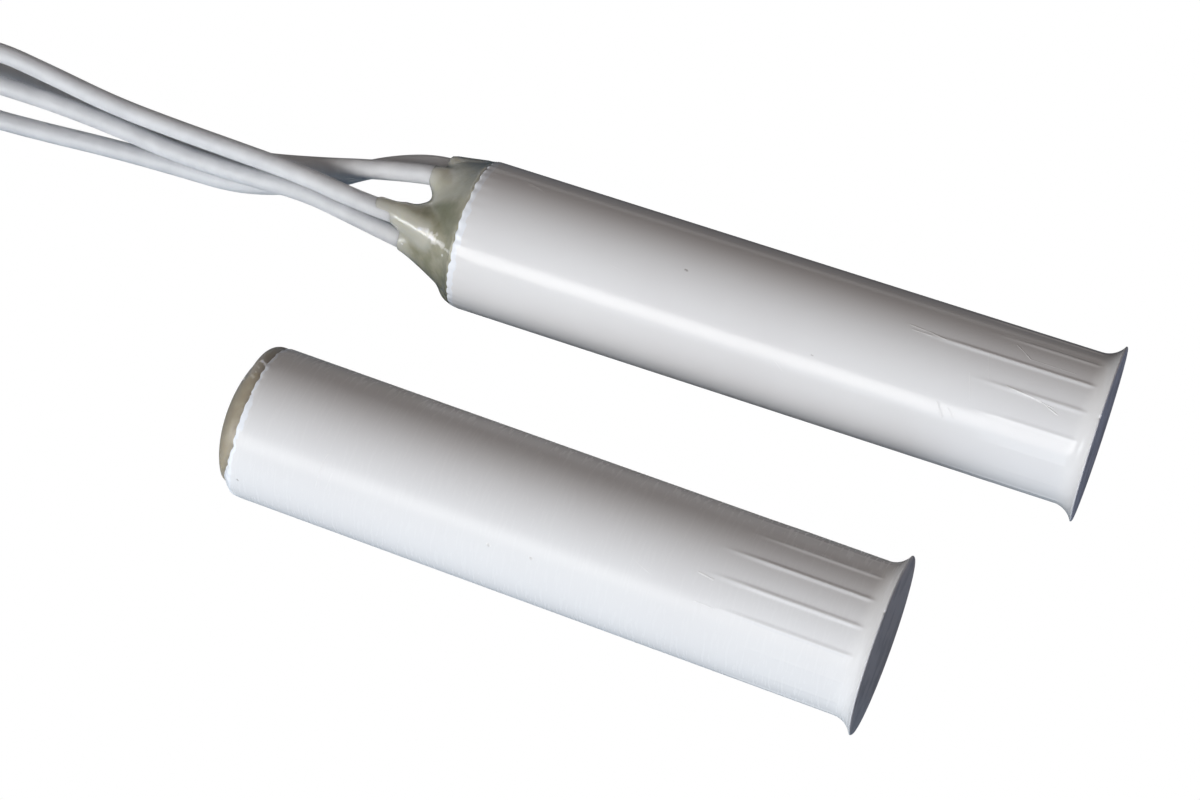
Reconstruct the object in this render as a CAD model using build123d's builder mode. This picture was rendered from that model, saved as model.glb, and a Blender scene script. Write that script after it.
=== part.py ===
from build123d import *
import os
from math import atan2, cos, degrees, radians, sin, tan

# Recessed magnetic contact: a potted reed switch barrel with four flying leads, and its magnet barrel.
# Millimetres. +Z is up from the surface that both barrels lie on, and the switch barrel lies along X with
# its flange towards +X. The origin is under the middle of the two barrels.

# Moulded housing, the same moulding for the switch and for the magnet
barrel_radius = 4.0
barrel_length = 34.1
wall = 0.65
front_wall = 1.0
floor_radius = 0.4
lip_width = 0.1
flange_radius = 4.65
flange_edge = 0.15
flare_length = 1.15

# Crush ribs round the front of each housing: they start clear of the flare and fade to nothing
rib_count = 17
rib_phase = 8.9
rib_gap = 0.5
rib_length = 7.6
rib_height = 0.11
rib_root_width = 0.7
rib_crest_width = 0.08
rib_depth = 0.3
rib_end_height = 0.02

# Where the magnet barrel lies beside the switch barrel
magnet_setback = 6.475
magnet_aside = 15.02
magnet_turn = -1.284

# Magnet and its resin plug
magnet_radius = 2.5
magnet_length = 20.0
magnet_edge = 0.3
magnet_dome = 1.5

# Resin on the switch: a tent that narrows from the whole rim to the two pairs of leads
rim_rise = 0.25
rim_inset = 0.02
alarm_root_inset = 0.04
tamper_root_inset = 0.09
neck_root_depth = 0.15
neck_end_spread = 0.62
neck_end_width = 1.3
alarm_neck_length = 2.85
alarm_neck_ends = ((-2.0, 1.37), (-3.1, 0.57))
tamper_neck_length = 4.1
tamper_neck_ends = ((0.6, 0.65), (1.4, -0.35))

# Reed switch: glass capsule, two flattened blades with a contact gap, and their round wires
glass_standoff = 3.5
glass_length = 14.0
glass_radius = 1.1
glass_wall = 0.3
glass_seal = 1.8
glass_tip_radius = 0.6
wire_radius = 0.3
blade_width = 1.2
blade_thickness = 0.25
blade_overlap = 1.2
contact_gap = 0.15
blade_flattening = 1.0
fold_reach = 1.9
fold_clearance = 0.4
fold_angle = 215
fold_bend = 0.8

# Leads: insulated tubes with a bare core in the resin and a tinned tip at the far end
lead_radius = 0.525
core_radius = 0.25
tinning = 0.05
tip_length = 6.0
mouth_inset = 1.4
core_free = 2.0
core_straight = 0.8
core_bend = 0.6

# Seats of the two pairs in the resin, each leaning round the barrel's axis
alarm_pair_inset = 0.44
alarm_pair_angle = 152.8
alarm_pair_slant = 56.4
alarm_pair_gap = 0.13
tamper_pair_inset = 1.36
tamper_pair_angle = 7.9
tamper_pair_slant = -45.0
tamper_pair_gap = 0.22

# Solder joints
joint_radius = 0.72
tamper_joint_radius = 0.66
joint_length = 1.6
joint_edge = 0.1
joint_gap = 0.8
joint_stagger = 0.3
joint_lead_in = 0.4
wire_inset = 0.1
core_gap = 0.06

# The rest of the leads, wound as a flat coil with a tie round it
coil_reach = 42.88
coil_side = 0.64
coil_entry = 5.5
coil_radius = 12.9
coil_turns = 4
strand_gap = 0.02
tie_wall = 0.3
tie_width = 1.8
tie_gap = 0.06
tie_angle = 200
tie_head_depth = 1.1
tie_head_height = 2.2
tie_head_width = 2.4
tie_tail_rise = 1.2
tail_start = (0.05, 306)
tail_middle = (1.15, 348)
tail_end = (2.95, 390)

# Routes of the free leads as they really lie: past the barrel's back end, aside from its axis, and up
lead_gather = 33.38
lead_routes = {
    "alarm_lead_a": [
        (2.58, 3.24, 4.6), (6.38, 2.89, 2.95), (9.88, 1.44, 1.2), (13.58, 0.04, 0.85),
        (17.58, -0.06, 0.8), (21.58, -0.26, 0.75), (25.58, -0.71, 0.85), (29.48, -1.01, 0.95),
    ],
    "alarm_lead_b": [
        (2.58, 1.94, 5.4), (6.38, 1.79, 4.1), (9.88, 1.69, 2.5), (13.58, 1.44, 1.3),
        (17.58, 1.34, 0.8), (21.58, 1.64, 0.6), (25.58, 2.09, 0.55), (29.48, 2.39, 0.6),
    ],
    "tamper_lead_a": [
        (2.58, -0.76, 4.65), (6.38, -0.51, 4.35), (9.88, 0.24, 3.75), (13.58, 0.69, 3.25),
        (17.58, 0.99, 2.9), (21.58, 1.19, 2.75), (25.58, 1.74, 2.8), (29.48, 2.09, 3.05),
    ],
    "tamper_lead_b": [
        (2.58, -1.61, 3.6), (6.38, -0.81, 3.15), (9.88, -0.01, 2.6), (13.58, -0.01, 2.15),
        (17.58, 0.09, 1.9), (21.58, 0.59, 1.75), (25.58, 0.79, 1.75), (29.48, 0.59, 1.95),
    ],
}
lead_layers = {"alarm_lead_b": 0, "alarm_lead_a": 1, "tamper_lead_b": 2, "tamper_lead_a": 3}

# Sizes that follow from the ones above
bore_radius = barrel_radius - wall
back_chamfer = wall - lip_width
plain_end = barrel_length - back_chamfer
lip_radius = barrel_radius - back_chamfer
tilt = atan2(flange_radius - barrel_radius, plain_end - flange_edge)
axis_height = flange_radius * cos(tilt) + flange_edge * sin(tilt)
rib_start = flare_length + rib_gap
rib_runout = rib_start + rib_length
glass_front = front_wall + glass_standoff
glass_end = glass_front + glass_length
fold_depth = glass_front - fold_reach
fold_radius = glass_radius + wire_radius + fold_clearance
rear_joint_start = glass_end + joint_gap
front_joint_start = rear_joint_start + joint_length + joint_stagger
strip_depth = front_joint_start + joint_length + core_free
mouth_depth = barrel_length - mouth_inset
seated_touch = wire_radius + core_radius + core_gap
pair_touch = core_radius + core_gap / 2
tip_radius = core_radius + tinning
strand_pitch = 2 * lead_radius + strand_gap
coil_base = tie_wall
coil_height = len(lead_layers) * strand_pitch
coil_outside = coil_radius + strand_pitch / 2
coil_inside = coil_outside - coil_turns * strand_pitch


def barrel_plane(x, y, turn):
    """Plane at the middle of a flange's face: local Z runs down the barrel, local Y points up."""
    into = Vector(-cos(radians(turn)) * cos(tilt), -sin(radians(turn)) * cos(tilt), -sin(tilt))
    aside = Vector(sin(radians(turn)), -cos(radians(turn)), 0)
    return Plane(origin=(x, y, axis_height), x_dir=aside, z_dir=into)


def lengthwise(barrel):
    """Plane through a barrel's axis: local X is the depth from the flange's face, local Y the radius."""
    return Plane(origin=barrel.origin, x_dir=barrel.z_dir, z_dir=-barrel.x_dir)


def barrel_axis(barrel):
    return Axis(barrel.origin, barrel.z_dir)


face_lean = flange_radius * sin(tilt)
switch_x = (magnet_setback + barrel_length + magnet_dome - face_lean) / 2
switch = barrel_plane(switch_x, magnet_aside / 2, 0)
magnet_side = barrel_plane(switch_x - magnet_setback, -magnet_aside / 2, magnet_turn)
back_x = switch_x - barrel_length * cos(tilt)
switch_y = magnet_aside / 2
coil_start = (back_x - coil_reach, switch_y + coil_side)
coil_face = coil_start[0] + coil_entry
coil_centre = (coil_start[0], coil_start[1] - coil_radius)


def round_coil(radius, angle):
    """Point round the coil's centre."""
    return (coil_centre[0] + radius * cos(radians(angle)), coil_centre[1] + radius * sin(radians(angle)))


def seat(inset, angle, slant, gap, side):
    """Where a lead of a pair sits in the resin: sideways from the barrel's axis, then up."""
    reach = bore_radius - lead_radius - inset
    half = side * (lead_radius + gap / 2)
    return (
        reach * cos(radians(angle)) + half * cos(radians(slant)),
        reach * sin(radians(angle)) + half * sin(radians(slant)),
    )


alarm_pair = (alarm_pair_inset, alarm_pair_angle, alarm_pair_slant, alarm_pair_gap)
tamper_pair = (tamper_pair_inset, tamper_pair_angle, tamper_pair_slant, tamper_pair_gap)
lead_seats = {
    "alarm_lead_a": seat(*alarm_pair, -1),
    "alarm_lead_b": seat(*alarm_pair, 1),
    "tamper_lead_a": seat(*tamper_pair, -1),
    "tamper_lead_b": seat(*tamper_pair, 1),
}

# One crush rib, standing on the barrel at local +X
with BuildPart() as crush_rib:
    for depth, height in ((rib_start, rib_height), (rib_runout, rib_end_height)):
        with BuildSketch(Plane.XY.offset(depth)):
            Polygon(
                (barrel_radius - rib_depth, -rib_root_width / 2),
                (barrel_radius + height, -rib_crest_width / 2),
                (barrel_radius + height, rib_crest_width / 2),
                (barrel_radius - rib_depth, rib_root_width / 2),
                align=None,
            )
    loft(ruled=True)


def moulded_housing(barrel):
    """Closed front with a flared flange, straight barrel with crush ribs, and a chamfered open back."""
    with BuildPart(barrel) as housing:
        with BuildSketch(lengthwise(barrel)) as section:
            with BuildLine():
                Polyline((0, 0), (0, flange_radius), (flange_edge, flange_radius))
                TangentArc((flare_length, barrel_radius), (flange_edge, flange_radius), tangent=(-1, 0))
                Polyline(
                    (flare_length, barrel_radius), (plain_end, barrel_radius), (barrel_length, lip_radius),
                    (barrel_length, bore_radius), (front_wall, bore_radius), (front_wall, 0), (0, 0),
                )
            make_face()
            inner_corner = section.vertices().sort_by_distance((front_wall, bore_radius, 0))[0]
            fillet(inner_corner, floor_radius)
        revolve(axis=barrel_axis(barrel))
        with PolarLocations(0, rib_count, start_angle=rib_phase):
            add(crush_rib.part)
    return housing.part


switch_housing = moulded_housing(switch)
magnet_housing = moulded_housing(magnet_side)


def capsule(barrel):
    """Outer form of the reed switch's glass, with its two rounded, drawn-down ends."""
    shoulder = glass_radius - wire_radius
    with BuildPart() as envelope:
        with BuildSketch(lengthwise(barrel)):
            with BuildLine():
                Polyline((glass_front, 0), (glass_front, glass_tip_radius))
                ThreePointArc(
                    (glass_front, glass_tip_radius),
                    (glass_front + 0.3 * shoulder, glass_radius - 0.12 * shoulder),
                    (glass_front + shoulder, glass_radius),
                )
                Line((glass_front + shoulder, glass_radius), (glass_end - shoulder, glass_radius))
                ThreePointArc(
                    (glass_end - shoulder, glass_radius),
                    (glass_end - 0.3 * shoulder, glass_radius - 0.12 * shoulder),
                    (glass_end, glass_tip_radius),
                )
                Polyline((glass_end, glass_tip_radius), (glass_end, 0), (glass_front, 0))
            make_face()
        revolve(axis=barrel_axis(barrel))
    return envelope.part


glass_form = capsule(switch)

# Hollow glass capsule: the cavity tapers into the two seals, where the wires fill the bore
with BuildPart() as reed_glass:
    add(glass_form)
    cavity_radius = glass_radius - glass_wall
    cavity_front = glass_front + glass_seal
    cavity_end = glass_end - glass_seal
    taper = cavity_radius - wire_radius
    with BuildSketch(lengthwise(switch)):
        Polygon(
            (glass_front, 0), (glass_front, wire_radius), (cavity_front, wire_radius),
            (cavity_front + taper, cavity_radius), (cavity_end - taper, cavity_radius),
            (cavity_end, wire_radius), (glass_end, wire_radius), (glass_end, 0),
            align=None,
        )
    revolve(axis=barrel_axis(switch), mode=Mode.SUBTRACT)


def swept_wire(route, radius, bends):
    """Round wire along straight runs joined by arcs of the given radii."""
    with BuildPart() as wire:
        with BuildLine() as path:
            FilletPolyline(*route, radius=bends)
        with BuildSketch(Plane(origin=path.line @ 0, z_dir=path.line % 0)):
            Circle(radius)
        sweep()
    return wire.part


def in_switch(x, y, depth):
    return switch.from_local_coords((x, y, depth))


def around(distance, angle):
    """Sideways and upward offsets of a point at this distance and angle from the barrel's axis."""
    return (distance * cos(radians(angle)), distance * sin(radians(angle)))


def flattened_blade(root_depth, tip_depth, rise):
    """Blade stamped flat from round wire: a short blend, then the springy paddle."""
    way = 1 if tip_depth > root_depth else -1
    with BuildPart() as blade:
        with BuildSketch(switch.offset(root_depth)):
            Circle(wire_radius)
        with BuildSketch(switch.offset(root_depth + way * blade_flattening)):
            with Locations((0, rise)):
                Rectangle(blade_width, blade_thickness)
        loft()
        with BuildSketch(switch.offset(root_depth + way * blade_flattening)):
            with Locations((0, rise)):
                Rectangle(blade_width, blade_thickness)
        extrude(amount=tip_depth - root_depth - way * blade_flattening)
    return blade.part


blade_rise = (contact_gap + blade_thickness) / 2
contact_middle = (glass_front + glass_end) / 2
fold_x, fold_y = around(fold_radius, fold_angle)

front_wire_end = front_joint_start + joint_length - wire_inset
rear_wire_end = rear_joint_start + joint_length - wire_inset

# Front blade: its wire leaves the front seal and folds back beside the glass
front_paddle = flattened_blade(cavity_front, contact_middle + blade_overlap / 2, -blade_rise)
front_wire = swept_wire(
    [
        in_switch(0, 0, cavity_front), in_switch(0, 0, fold_depth),
        in_switch(fold_x, fold_y, fold_depth), in_switch(fold_x, fold_y, front_wire_end),
    ],
    wire_radius,
    fold_bend,
)
with BuildPart() as reed_blade_front:
    add(front_paddle)
    add(front_wire)

# Rear blade: its wire runs straight back to the solder joint
rear_paddle = flattened_blade(cavity_end, contact_middle - blade_overlap / 2, blade_rise)
with BuildPart() as reed_blade_rear:
    add(rear_paddle)
    with BuildSketch(switch.offset(cavity_end)):
        Circle(wire_radius)
    extrude(amount=rear_wire_end - cavity_end)


def bend_radii(route):
    """The largest arc that each corner's two runs allow."""
    radii = []
    for before, corner, after in zip(route, route[1:], route[2:]):
        run_in = Vector(corner) - Vector(before)
        run_out = Vector(after) - Vector(corner)
        turn = radians(run_in.get_angle(run_out))
        radii.append(0.45 * min(run_in.length, run_out.length) / tan(turn / 2))
    return radii


# Each insulated lead in one length, from where it is stripped in the resin to the coil
leads = {}
for name, (seat_x, seat_y) in lead_seats.items():
    layer_height = coil_base + (lead_layers[name] + 0.5) * strand_pitch
    route = [
        in_switch(seat_x, seat_y, strip_depth),
        in_switch(seat_x, seat_y, mouth_depth),
        *[(back_x - past, switch_y + aside, height) for past, aside, height in lead_routes[name]],
        (back_x - lead_gather, coil_start[1], layer_height),
        (coil_face, coil_start[1], layer_height),
    ]
    radii = bend_radii(route)
    leads[name] = swept_wire(route, lead_radius, radii)
    print(name, "bend radii", [round(radius, 1) for radius in radii])

# Bare cores: the alarm pair reaches the two reed wires, the tamper pair is joined to itself
seat_b = lead_seats["alarm_lead_b"]
angle_b = degrees(atan2(seat_b[1], seat_b[0]))
touch_a = around(fold_radius - seated_touch, fold_angle)
touch_b = around(seated_touch, angle_b)
tamper_a, tamper_b = lead_seats["tamper_lead_a"], lead_seats["tamper_lead_b"]
pair_middle = ((tamper_a[0] + tamper_b[0]) / 2, (tamper_a[1] + tamper_b[1]) / 2)
pair_apart = Vector(tamper_a[0] - tamper_b[0], tamper_a[1] - tamper_b[1]).normalized()
touch_c = (pair_middle[0] + pair_apart.X * pair_touch, pair_middle[1] + pair_apart.Y * pair_touch)
touch_d = (pair_middle[0] - pair_apart.X * pair_touch, pair_middle[1] - pair_apart.Y * pair_touch)
core_ends = {
    "alarm_lead_a": (touch_a, front_joint_start),
    "alarm_lead_b": (touch_b, rear_joint_start),
    "tamper_lead_a": (touch_c, front_joint_start),
    "tamper_lead_b": (touch_d, front_joint_start),
}
cores = {}
for name, ((end_x, end_y), joint_depth) in core_ends.items():
    seat_x, seat_y = lead_seats[name]
    cores[name] = swept_wire(
        [
            in_switch(seat_x, seat_y, strip_depth),
            in_switch(seat_x, seat_y, strip_depth - core_straight),
            in_switch(end_x, end_y, joint_depth + joint_length + joint_lead_in),
            in_switch(end_x, end_y, joint_depth + joint_lead_in),
        ],
        core_radius,
        core_bend,
    )


def solder_bead(x, y, depth, radius, *wires):
    """Bead of solder round the wires that it joins."""
    with BuildPart() as bead:
        with BuildSketch(Plane(in_switch(x, y, depth), x_dir=switch.x_dir, z_dir=switch.z_dir)):
            Circle(radius)
        extrude(amount=joint_length)
        chamfer(bead.edges().filter_by(GeomType.CIRCLE), joint_edge)
        for wire in wires:
            add(wire, mode=Mode.SUBTRACT)
    return bead.part


middle_a = around(fold_radius - seated_touch / 2, fold_angle)
middle_b = around(seated_touch / 2, angle_b)
joints = {
    "solder_joint_front": solder_bead(
        *middle_a, front_joint_start, joint_radius, reed_blade_front.part, cores["alarm_lead_a"]
    ),
    "solder_joint_rear": solder_bead(
        *middle_b, rear_joint_start, joint_radius, reed_blade_rear.part, cores["alarm_lead_b"]
    ),
    "solder_joint_tamper": solder_bead(
        *pair_middle, front_joint_start, tamper_joint_radius, cores["tamper_lead_a"], cores["tamper_lead_b"]
    ),
}


def resin_neck(near, far, root_inset, length):
    """Resin drawn out from a wide round root inside the rim to a close fit round a pair of leads."""
    near_x, near_y = near
    far_x, far_y = far
    middle = ((near_x + far_x) / 2, (near_y + far_y) / 2)
    apart = ((near_x - far_x) ** 2 + (near_y - far_y) ** 2) ** 0.5
    slant = degrees(atan2(far_y - near_y, far_x - near_x))
    with BuildPart() as neck:
        with BuildSketch(switch.offset(barrel_length + neck_root_depth)):
            Circle(lip_radius - root_inset)
        with BuildSketch(switch.offset(barrel_length + length)):
            with Locations(middle):
                Ellipse(apart * neck_end_spread + lead_radius, lead_radius * neck_end_width, rotation=slant)
        loft()
    return neck.part


alarm_neck = resin_neck(*alarm_neck_ends, alarm_root_inset, alarm_neck_length)
tamper_neck = resin_neck(*tamper_neck_ends, tamper_root_inset, tamper_neck_length)

# Resin in the switch barrel: fills the bore round everything cast in it, covers the rim's inner edge,
# and is drawn up the leads in two necks
with BuildPart() as switch_potting:
    with BuildSketch(lengthwise(switch)) as section:
        with BuildLine():
            Polyline(
                (front_wall, 0), (front_wall, bore_radius), (barrel_length, bore_radius),
                (barrel_length, lip_radius), (barrel_length + rim_rise, lip_radius - rim_inset),
                (barrel_length + rim_rise, 0), (front_wall, 0),
            )
        make_face()
        inner_corner = section.vertices().sort_by_distance((front_wall, bore_radius, 0))[0]
        fillet(inner_corner, floor_radius)
    revolve(axis=barrel_axis(switch))
    add(alarm_neck)
    add(tamper_neck)
    cast_in = [
        glass_form, reed_blade_front.part, reed_blade_rear.part,
        *leads.values(), *cores.values(), *joints.values(),
    ]
    for piece in cast_in:
        add(piece, mode=Mode.SUBTRACT)

# Bar magnet, standing on the closed front of its barrel
with BuildPart() as magnet:
    with BuildSketch(magnet_side.offset(front_wall)):
        Circle(magnet_radius)
    extrude(amount=magnet_length)
    chamfer(magnet.edges().filter_by(GeomType.CIRCLE), magnet_edge)

# Resin in the magnet barrel, domed where it stands proud of the back
with BuildPart() as magnet_potting:
    with BuildSketch(lengthwise(magnet_side)) as section:
        with BuildLine():
            Polyline(
                (front_wall, 0), (front_wall, bore_radius), (barrel_length, bore_radius),
                (barrel_length, lip_radius),
            )
            TangentArc((barrel_length + magnet_dome, 0), (barrel_length, lip_radius), tangent=(0, 1))
            Line((barrel_length + magnet_dome, 0), (front_wall, 0))
        make_face()
        inner_corner = section.vertices().sort_by_distance((front_wall, bore_radius, 0))[0]
        fillet(inner_corner, floor_radius)
    revolve(axis=barrel_axis(magnet_side))
    add(magnet.part, mode=Mode.SUBTRACT)

hook = [round_coil(coil_inside - inward, angle) for inward, angle in (tail_start, tail_middle, tail_end)]

# Outer form of the wound leads: a flat ring, the straight entry, and the hook where the ends come out
with BuildPart() as lead_coil:
    with BuildSketch(Plane.XY.offset(coil_base)):
        with Locations(coil_centre):
            Circle(coil_outside)
            Circle(coil_inside, mode=Mode.SUBTRACT)
        with BuildLine():
            Line((coil_face, coil_start[1]), coil_start)
        trace(line_width=strand_pitch)
        with BuildLine():
            ThreePointArc(*hook)
        trace(line_width=strand_pitch)
    extrude(amount=coil_height)

# Tinned ends, one above another at the end of the hook
hook_arc = ThreePointArc(*hook)
tip_start = hook_arc @ 1
tip_way = hook_arc % 1
tips = {}
for name, layer in lead_layers.items():
    layer_height = coil_base + (layer + 0.5) * strand_pitch
    with BuildPart() as tip:
        with BuildSketch(Plane(origin=(tip_start.X, tip_start.Y, layer_height), z_dir=tip_way)):
            Circle(tip_radius)
        extrude(amount=tip_length)
        fillet(tip.edges().filter_by(GeomType.CIRCLE).sort_by_distance(tip_start)[-1], tip_radius * 0.8)
    tips[name] = tip.part

# Small moulded tie round the coil's section, with its head on the outside
tie_middle = round_coil((coil_outside + coil_inside) / 2, tie_angle)
tie_out = Vector(cos(radians(tie_angle)), sin(radians(tie_angle)), 0)
tie_span = coil_outside - coil_inside + 2 * tie_gap
with BuildPart() as lead_tie:
    tie_plane = Plane(
        origin=(*tie_middle, coil_base + coil_height / 2),
        x_dir=tie_out,
        z_dir=tie_out.cross(Vector(0, 0, 1)),
    )
    with BuildSketch(tie_plane):
        Rectangle(tie_span + 2 * tie_wall, coil_height + 2 * tie_wall)
        Rectangle(tie_span, coil_height, mode=Mode.SUBTRACT)
    extrude(amount=tie_width / 2, both=True)
    with BuildSketch(tie_plane):
        with Locations((tie_span / 2 + tie_wall + tie_head_depth / 2, 0)):
            Rectangle(tie_head_depth, tie_head_height)
    extrude(amount=tie_head_width / 2, both=True)
    with BuildSketch(tie_plane):
        with Locations((tie_span / 2 + tie_wall + tie_head_depth / 2, tie_head_height / 2)):
            Rectangle(tie_wall, 2 * tie_tail_rise)
    extrude(amount=tie_width / 2, both=True)

parts = {
    "switch_housing": switch_housing,
    "switch_potting": switch_potting.part,
    "reed_glass": reed_glass.part,
    "reed_blade_front": reed_blade_front.part,
    "reed_blade_rear": reed_blade_rear.part,
    **joints,
    **leads,
    **{name.replace("lead", "core"): part for name, part in cores.items()},
    **{name.replace("lead", "tip"): part for name, part in tips.items()},
    "lead_coil": lead_coil.part,
    "lead_tie": lead_tie.part,
    "magnet_housing": magnet_housing,
    "magnet": magnet.part,
    "magnet_potting": magnet_potting.part,
}

os.makedirs("parts", exist_ok=True)
for name, part in parts.items():
    part.label = name
    export_step(part, f"parts/{name}.step")
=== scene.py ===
from math import atan2, cos, exp, pi, radians, sin, sqrt

import bmesh
import bpy
import numpy as np
from mathutils import Euler, Matrix, Vector


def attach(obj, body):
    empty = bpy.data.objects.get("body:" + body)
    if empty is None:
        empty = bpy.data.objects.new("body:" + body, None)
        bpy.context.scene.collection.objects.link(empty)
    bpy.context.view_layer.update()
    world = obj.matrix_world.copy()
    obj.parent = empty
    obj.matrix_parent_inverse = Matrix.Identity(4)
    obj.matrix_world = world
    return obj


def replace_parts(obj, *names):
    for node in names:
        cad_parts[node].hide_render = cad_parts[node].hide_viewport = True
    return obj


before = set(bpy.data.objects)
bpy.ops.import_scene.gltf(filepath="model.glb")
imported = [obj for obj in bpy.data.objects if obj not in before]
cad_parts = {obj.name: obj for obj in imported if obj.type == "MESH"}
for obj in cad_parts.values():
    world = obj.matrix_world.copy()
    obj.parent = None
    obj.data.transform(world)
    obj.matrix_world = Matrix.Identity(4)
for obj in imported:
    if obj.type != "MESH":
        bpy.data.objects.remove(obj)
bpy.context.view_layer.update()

# Camera: its place, turn and lens were fitted to the outlines of both barrels in the photograph. It looks
# down from the front right. Its place is in metres, and the sizes of all pieces are in millimetres.
MM = 0.001
camera_data = bpy.data.cameras.new("camera")
camera_data.lens = 99.22
camera_data.sensor_width = 36.0
camera_data.clip_start = 0.01
camera_data.clip_end = 10.0
camera = bpy.data.objects.new("camera", camera_data)
camera.location = (0.025533, -0.074596, 0.152484)
camera.rotation_euler = Euler((radians(28.49), 0, radians(21.064)))
bpy.context.collection.objects.link(camera)
bpy.context.scene.camera = camera


# Leads: four light alarm wires of copper strands in grey-white vinyl, cast into the switch's resin in two
# pairs. Each is one length that follows its real track as far as the picture's edge. Beyond it the four lie
# one above another in a flat coil, held by a small tie, and end stripped and tinned.
SWITCH_FLANGE = (20.992, 7.51)
FLANGE_HEIGHT = 4.652
LEAN = radians(1.1149)
LEAD_RADIUS = 0.525
STRIP_DEPTH = 24.8
MOUTH_DEPTH = 32.7
STRAND_PITCH = 1.07
COIL_BASE = 0.3
COIL_RADIUS = 12.9
COIL_START = (-55.981, 8.15)
COIL_CENTRE = (COIL_START[0], COIL_START[1] - COIL_RADIUS)
COIL_FACE = COIL_START[0] + 5.5
LEAD_GATHER = COIL_FACE + 4.0
TURNS = 3.6
POINTS_PER_TURN = 15
FIRST_ANGLE = 90
HOOK = [(-49.69, -11.35), (-48.46, -9.27), (-48.03, -6.89), (-48.45, -4.5), (-49.67, -2.42), (-50.607, -1.648)]

# For each lead: its seat across the barrel, where it leaves the resin in the barrel's own x, y and depth,
# and the points that it follows in the open, to the picture's edge and a little beyond
LEADS = {
    "alarm_lead_b": ((-1.80, 1.58), (-1.87, 1.27, 37.2), [
        (-15.68, 9.45, 5.4), (-19.48, 9.3, 4.1), (-22.98, 9.2, 2.5), (-26.68, 8.95, 1.3),
        (-30.68, 8.85, 0.8), (-34.68, 9.15, 0.6), (-38.68, 9.6, 0.55), (-42.58, 9.9, 0.6),
    ]),
    "alarm_lead_a": ((-2.45, 0.60), (-3.0, 0.66, 36.6), [
        (-15.68, 10.75, 4.6), (-19.48, 10.4, 2.95), (-22.98, 8.95, 1.2), (-26.68, 7.55, 0.85),
        (-30.68, 7.45, 0.8), (-34.68, 7.25, 0.75), (-38.68, 6.8, 0.85), (-42.58, 6.5, 0.95),
    ]),
    "tamper_lead_b": ((1.90, -0.25), (1.43, -0.32, 37.7), [
        (-15.68, 5.9, 3.6), (-19.48, 6.7, 3.15), (-22.98, 7.5, 2.6), (-26.68, 7.5, 2.15),
        (-30.68, 7.6, 1.9), (-34.68, 8.1, 1.75), (-38.68, 8.3, 1.75), (-42.58, 8.1, 1.95),
    ]),
    "tamper_lead_a": ((1.00, 0.65), (0.59, 0.61, 39.1), [
        (-15.68, 6.75, 4.65), (-19.48, 7.0, 4.35), (-22.98, 7.75, 3.75), (-26.68, 8.16, 3.23),
        (-30.68, 8.45, 2.87), (-34.68, 8.7, 2.75), (-38.68, 9.25, 2.8), (-42.58, 9.6, 3.05),
    ]),
}
VINYL_PALE = (0.64, 0.655, 0.68)
VINYL_DULL = (0.58, 0.595, 0.62)
VINYL_DIRT = (0.5, 0.5, 0.5)
SCUFF_DARK = (0.2, 0.2, 0.21)
SCUFFS = [
    ((-20.04, 6.42, 3.62), (-19.71, 6.33, 3.64), 0.09, 1.0),
    ((-19.71, 6.33, 3.64), (-19.38, 6.24, 3.66), 0.06, 0.8),
]


class Value:
    """A socket of a shader node. Python's sums and products of it are worked out by Math nodes."""

    def __init__(self, look, socket):
        self.look = look
        self.socket = socket

    def math(self, operation, a, b):
        return self.look.node("Math", {"operation": operation}, {0: a, 1: b})

    def __add__(self, other):
        return self.math("ADD", self, other)

    def __radd__(self, other):
        return self.math("ADD", other, self)

    def __sub__(self, other):
        return self.math("SUBTRACT", self, other)

    def __rsub__(self, other):
        return self.math("SUBTRACT", other, self)

    def __mul__(self, other):
        return self.math("MULTIPLY", self, other)

    def __rmul__(self, other):
        return self.math("MULTIPLY", other, self)

    def __truediv__(self, other):
        return self.math("DIVIDE", self, other)

    def __rtruediv__(self, other):
        return self.math("DIVIDE", other, self)

    def clamped(self):
        """The same value, held between 0 and 1 by the Math node that works it out."""
        self.socket.node.use_clamp = True
        return self


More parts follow.
